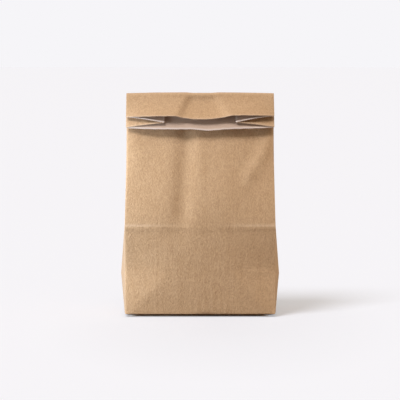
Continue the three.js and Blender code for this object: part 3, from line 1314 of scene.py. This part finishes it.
def kraft_finish() -> PaperFinish:
    """Unbleached kraft paper: cloudy pulp, fibres, faint machine lines, flecks, and lighter folds that are
    rubbed, and along the crease and the lip also painted highlights.

    Returns:
        The bag's outer finish.
    """
    light = (0.655, 0.434, 0.248)
    dark = (0.35, 0.194, 0.089)
    upright = (1.0, 1.0, 0.6)
    threads = (1.0, 1.0, 0.5)
    streaks = (1.0, 1.0, 0.02)
    return PaperFinish(
        name="kraft_outside",
        base=(0.58, 0.366, 0.191),
        grains=(
            Grain("cloud", 55.0, 0.32, 0.68, share=0.4, colour=light, lift=0.6),
            Grain("mottle", 360.0, 0.34, 0.66, share=0.2, colour=dark, stretch=upright),
            Grain("fibre", 950.0, 0.38, 0.62, share=0.55, colour=dark, stretch=threads, detail=5.0, lift=0.5),
            Grain("lines", 420.0, 0.3, 0.7, share=0.3, colour=light, stretch=streaks, detail=2.0, lift=0.1),
            Grain("fleck", 1000.0, 0.61, 0.7, share=0.6, colour=dark, stretch=upright, detail=2.0),
        ),
        # lighter colour for rubbed folds, and for the painted highlights along the crease and the lip
        worn_and_highlight=(0.74, 0.53, 0.35),
        wear_and_highlight_share=0.55,
        roughness=0.84,
        specular=0.28,
        sheen=0.25,
        bump_distance=0.00042,
        bump_strength=0.62,
    )


def lining_finish() -> PaperFinish:
    """The bleached inner face of the paper, darkened and warmed: partly its own tint, partly painted shade
    and painted warm bounce light for the inside of the mouth.

    Returns:
        The bag's inner finish.
    """
    # the lining's colours are darker and warmer than bleached paper: partly its tint, partly painted shade
    # for the mouth's inside
    dark = (0.43, 0.295, 0.2)
    threads = (1.0, 1.0, 0.4)
    return PaperFinish(
        name="white_inside",
        base=(0.54, 0.385, 0.285),
        grains=(
            Grain("fibre", 800.0, 0.35, 0.65, share=0.3, colour=dark, stretch=threads, detail=4.0, lift=1.0),
            Grain("cloud", 60.0, 0.3, 0.7, share=0.2, colour=dark, lift=1.0),
        ),
        # lighter colour for rubbed folds and for the band along the lip, which is partly a painted highlight
        worn_and_highlight=(0.8, 0.7, 0.62),
        wear_and_highlight_share=0.6,
        roughness=0.78,
        specular=0.3,
        bump_distance=0.00012,
        bump_strength=0.4,
    )


def cut_edge_finish() -> PaperFinish:
    """The pinked cut, where pale torn fibres show.

    Returns:
        The mouth's finish.
    """
    return PaperFinish(
        name="cut_edge",
        base=(0.72, 0.56, 0.42),
        grains=(Grain("fibre", 2500.0, 0.35, 0.65, share=0.5, colour=(0.5, 0.34, 0.2)),),
    )


@dataclass
class BagSheet:
    """The folded sheet itself: a closed thin wall with its own thickness and a pinked mouth."""

    sizes: BagSizes
    dents: PanelDents
    panel_steps: int = 78
    gusset_steps: int = 16
    turn_steps: int = 4

    def build(self) -> bpy.types.Object:
        """Builds the sheet.

        Returns:
            The sheet as one mesh object.
        """
        lines = SheetLines(self.sizes, self.panel_steps, self.gusset_steps, self.turn_steps)
        maker = RingMaker(BagForm(self.sizes, lines, self.dents))
        rings = maker.base() + maker.body() + maker.top()
        skin = SheetSkin()
        last = {}
        for wall in (Wall.OUTSIDE, Wall.INSIDE):
            below = skin.add(rings[0].on(wall), rings[0].wear_and_highlight)
            skin.face(tuple(int(n) for n in reversed(below)), wall)
            for ring in rings[1:]:
                above = skin.add(ring.on(wall), ring.wear_and_highlight)
                skin.strip(below, above, wall)
                below = above
            last[wall] = below
        self.pink(skin, maker, last)
        self.add_bottom_flap(skin)
        piece = bpy.data.objects.new("bag_sheet", skin.mesh("bag_sheet"))
        bpy.context.scene.collection.objects.link(piece)
        log.info("bag_sheet: %d lines, %d rings, %d faces", lines.count, len(rings), len(skin.faces))
        return piece

    def pink(self, skin: SheetSkin, maker: RingMaker, last: dict[Wall, np.ndarray]) -> None:
        """Cuts the mouth into small teeth and closes the wall over its cut edge.

        Args:
            skin: The skin that the edge is added to.
            maker: Makes the rings of the lip.
            last: The last ring of each face, by number.
        """
        sizes, wear_and_highlight = self.sizes, maker.wear_and_highlight.cut
        full = maker.form.lip_length()
        low = maker.flap_ring(1.0, full - sizes.tooth_depth)
        high = maker.flap_ring(1.0, full)
        ahead = np.roll(np.arange(maker.form.lines.count), -1)
        gaps = np.linalg.norm(low.outer[ahead] - low.outer, axis=1)
        counts = np.round(gaps / sizes.tooth_pitch).astype(int)
        cuts = {}
        for wall in (Wall.OUTSIDE, Wall.INSIDE):
            valley, tooth = low.on(wall), high.on(wall)
            starts = skin.add(valley, wear_and_highlight)
            cuts[wall] = []
            for index, following in enumerate(ahead):
                numbers = [int(starts[index])]
                halves = 2 * int(counts[index])
                for half in range(1, halves):
                    share = half / halves
                    line = tooth if half % 2 else valley
                    point = line[index] * (1 - share) + line[following] * share
                    numbers.append(int(skin.add(point[None], wear_and_highlight)[0]))
                cuts[wall].append([*numbers, int(starts[following])])
            for index, numbers in enumerate(cuts[wall]):
                near, far = int(last[wall][index]), int(last[wall][ahead[index]])
                skin.face((near, far, *reversed(numbers)), wall)
        for outside, inside in zip(cuts[Wall.OUTSIDE], cuts[Wall.INSIDE]):
            for step in range(1, len(outside)):
                skin.face((outside[step - 1], outside[step], inside[step], inside[step - 1]), Wall.CUT)

    def add_bottom_flap(self, skin: SheetSkin) -> None:
        """Adds the outer flap that closes the block bottom, a trapezium.

        Args:
            skin: The skin that the flap is added to.
        """
        sizes = self.sizes
        near, far = sizes.bottom_flap_inset - sizes.gusset_half, sizes.bottom_flap_reach
        near_half = sizes.half_width - sizes.bottom_flap_inset
        far_half = near_half - (far - near)
        outline = np.array([(-near_half, near), (near_half, near), (far_half, far), (-far_half, far)])
        bottom = skin.add(np.column_stack([outline, np.zeros(len(outline))]), 0.0)
        top = skin.add(np.column_stack([outline, np.full(len(outline), sizes.base_level)]), 0.0)
        skin.face(tuple(int(n) for n in reversed(bottom)), Wall.OUTSIDE)
        skin.face(tuple(int(n) for n in top), Wall.OUTSIDE)
        skin.strip(bottom, top, Wall.OUTSIDE)

    def dress(self, piece: bpy.types.Object) -> None:
        """Gives each face of the sheet its own paper.

        Args:
            piece: The sheet.
        """
        for finish in (kraft_finish(), lining_finish(), cut_edge_finish()):
            piece.data.materials.append(finish.material())
        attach(piece, "root")
        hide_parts("paper_bag")


def set_up(name: str, data: bpy.types.ID, place: Vector, towards: Vector) -> bpy.types.Object:
    """Puts a camera or a light into the scene.

    Args:
        name: Its name.
        data: The camera or light.
        place: Where it stands.
        towards: The direction that it faces.

    Returns:
        Its object.
    """
    thing = bpy.data.objects.new(name, data)
    thing.location = place
    thing.rotation_mode = "QUATERNION"
    thing.rotation_quaternion = towards.to_track_quat("-Z", "Y")
    bpy.context.scene.collection.objects.link(thing)
    return thing


@dataclass(frozen=True)
class PhotoCamera:
    """A camera that sees the bag as the photograph does, in its frame of 400 by 400 pixels."""

    frame_pixels: float = 400.0
    pixels_per_mm: float = 1.0
    distance: float = 1593.0
    elevation_deg: float = 5.0
    front_edge_y: float = -39.0
    front_edge_row: float = 317.1
    middle_column: float = 200.1
    sensor: float = 36.0
    far_clip: float = 200.0

    def build(self) -> bpy.types.Object:
        """Makes the camera and sets it as the scene's own.

        Returns:
            The camera.
        """
        elevation = math.radians(self.elevation_deg)
        ahead = Vector((0, math.cos(elevation), -math.sin(elevation)))
        up = Vector((0, math.sin(elevation), math.cos(elevation)))
        below = (self.front_edge_row - self.frame_pixels / 2) / self.pixels_per_mm
        aside = (self.middle_column - self.frame_pixels / 2) / self.pixels_per_mm
        edge = Vector((-aside, self.front_edge_y, 0))
        data = bpy.data.cameras.new("camera")
        data.sensor_width = self.sensor
        data.lens = self.distance * self.pixels_per_mm / self.frame_pixels * self.sensor
        data.clip_end = self.far_clip
        camera = set_up("camera", data, (edge - ahead * self.distance + up * below) * MM, ahead)
        bpy.context.scene.camera = camera
        return camera


@dataclass(frozen=True)
class SoftSun:
    """A far, broad light from the front and left, so that the floor is lit evenly and shadows are soft."""

    name: str
    left_deg: float
    elevation_deg: float
    spread_deg: float
    strength: float
    colour: Colour

    def build(self) -> bpy.types.Object:
        """Makes the light.

        Returns:
            The light.
        """
        left, up = math.radians(self.left_deg), math.radians(self.elevation_deg)
        place = Vector((-math.sin(left) * math.cos(up), -math.cos(left) * math.cos(up), math.sin(up)))
        data = bpy.data.lights.new(self.name, "SUN")
        data.angle = math.radians(self.spread_deg)
        data.energy = self.strength
        data.color = self.colour
        return set_up(self.name, data, place, -place)


@dataclass(frozen=True)
class BagLight:
    """A close light for the bag alone, so that the floor stays evenly lit."""

    name: str
    place: Triple
    target: Triple
    width: float
    height: float
    watts: float
    colour: Colour

    def build(self, lit: bpy.types.Object) -> bpy.types.Object:
        """Makes the light.

        Args:
            lit: The one object that it lights.

        Returns:
            The light.
        """
        data = bpy.data.lights.new(self.name, "AREA")
        data.shape = "RECTANGLE"
        data.size = self.width
        data.size_y = self.height
        data.energy = self.watts
        data.color = self.colour
        light = set_up(self.name, data, Vector(self.place), Vector(self.target) - Vector(self.place))
        light.visible_camera = False
        receivers = bpy.data.collections.new(f"{self.name}_receivers")
        receivers.objects.link(lit)
        light.light_linking.receiver_collection = receivers
        return light


@dataclass(frozen=True)
class Studio:
    """A plain pale floor and sky, a soft sun from the upper left, and two lights for the bag alone."""

    floor_half: float = 60.0
    floor_colour: Colour = (0.44, 0.452, 0.477)
    floor_bounce: Colour = (0.16, 0.1, 0.055)
    floor_roughness: float = 0.9
    floor_specular: float = 0.1
    floor_glow: float = 0.46
    # how far the floor's glow drops near the bag: a painted shade
    shade: float = 0.07
    shade_middle: Triple = (0.02, -0.1, 0.0)
    shade_reach: Triple = (0.17, 0.27, 1.0)
    sky_colour: Colour = (0.922, 0.913, 0.939)
    sky_light: Colour = (1.0, 0.84, 0.66)
    sky_power: float = 2.0
    key: SoftSun = SoftSun(
        "key", left_deg=45.0, elevation_deg=54.0, spread_deg=24.0, strength=2.6, colour=(0.97, 1.0, 1.09)
    )
    bag_lights: tuple[BagLight, ...] = (
        BagLight(
            "side",
            place=(-0.25, -0.125, 0.08),
            target=(-0.03, -0.03, 0.08),
            width=0.1,
            height=0.3,
            watts=0.95,
            colour=(0.84, 1.0, 1.2),
        ),
        BagLight(
            "fill",
            place=(0.34, -0.08, 0.06),
            target=(0.05, 0.0, 0.06),
            width=0.2,
            height=0.2,
            watts=0.6,
            colour=(1.0, 0.95, 0.9),
        ),
    )

    def build(self, bag: bpy.types.Object) -> None:
        """Makes the floor, the sky and the lights.

        Args:
            bag: The bag, which the close lights are for.
        """
        self.build_floor()
        self.build_sky()
        self.key.build()
        for light in self.bag_lights:
            light.build(bag)
        bpy.context.scene.view_settings.view_transform = "Standard"

    def build_floor(self) -> None:
        """Makes the floor, which glows a little for the camera alone, and less so near the bag, where that
        drop is a painted shade.
        """
        mesh = bpy.data.meshes.new("floor")
        half = self.floor_half
        corners = [(-half, -half, 0), (half, -half, 0), (half, half, 0), (-half, half, 0)]
        mesh.from_pydata(corners, [], [(0, 1, 2, 3)])
        floor = bpy.data.objects.new("floor", mesh)
        bpy.context.scene.collection.objects.link(floor)
        settings = {"Roughness": self.floor_roughness, "Specular IOR Level": self.floor_specular}
        surface = Surface("pale_floor", settings)
        seen = surface.seen()
        surface.feed("Base Color", surface.mix(seen, self.floor_bounce, self.floor_colour))
        surface.feed("Emission Color", self.sky_colour)
        # the glow drops near the bag: a painted shade on the floor in front of it
        away = surface.ramp(surface.distance(self.shade_middle, self.shade_reach), 0.0, 1.0)
        glow = surface.number("MULTIPLY_ADD", away, self.shade, self.floor_glow - self.shade)
        surface.feed("Emission Strength", surface.number("MULTIPLY", seen, glow))
        mesh.materials.append(surface.material)
        floor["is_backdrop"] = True

    def build_sky(self) -> None:
        """Makes the sky: light that grows with its height, and an even backdrop where the camera sees it."""
        world = bpy.data.worlds.new("sky")
        bpy.context.scene.world = world
        tree = NodeTree(world, "Generated")
        backdrop = tree.nodes["Background"]
        seen = tree.seen()
        tree.put(backdrop.inputs["Color"], tree.mix(seen, self.sky_light, self.sky_colour))
        direction = tree.nodes.new("ShaderNodeSeparateXYZ")
        tree.put(direction.inputs["Vector"], tree.coordinates)
        climb = tree.number("POWER", direction.outputs["Z"], self.sky_power)
        tree.put(backdrop.inputs["Strength"], tree.number("MAXIMUM", seen, climb))


def main() -> None:
    """Builds the bag and the studio, and reports each piece."""
    logging.basicConfig(level=logging.INFO, format="%(name)s %(message)s", force=True)
    PhotoCamera().build()
    sheet = BagSheet(BagSizes(), PanelDents())
    piece = sheet.build()
    sheet.dress(piece)
    Studio().build(piece)
    low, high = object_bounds()
    log.info("size in mm: %s", [round((b - a) / MM, 1) for a, b in zip(low, high)])


if __name__ == "__main__":
    main()
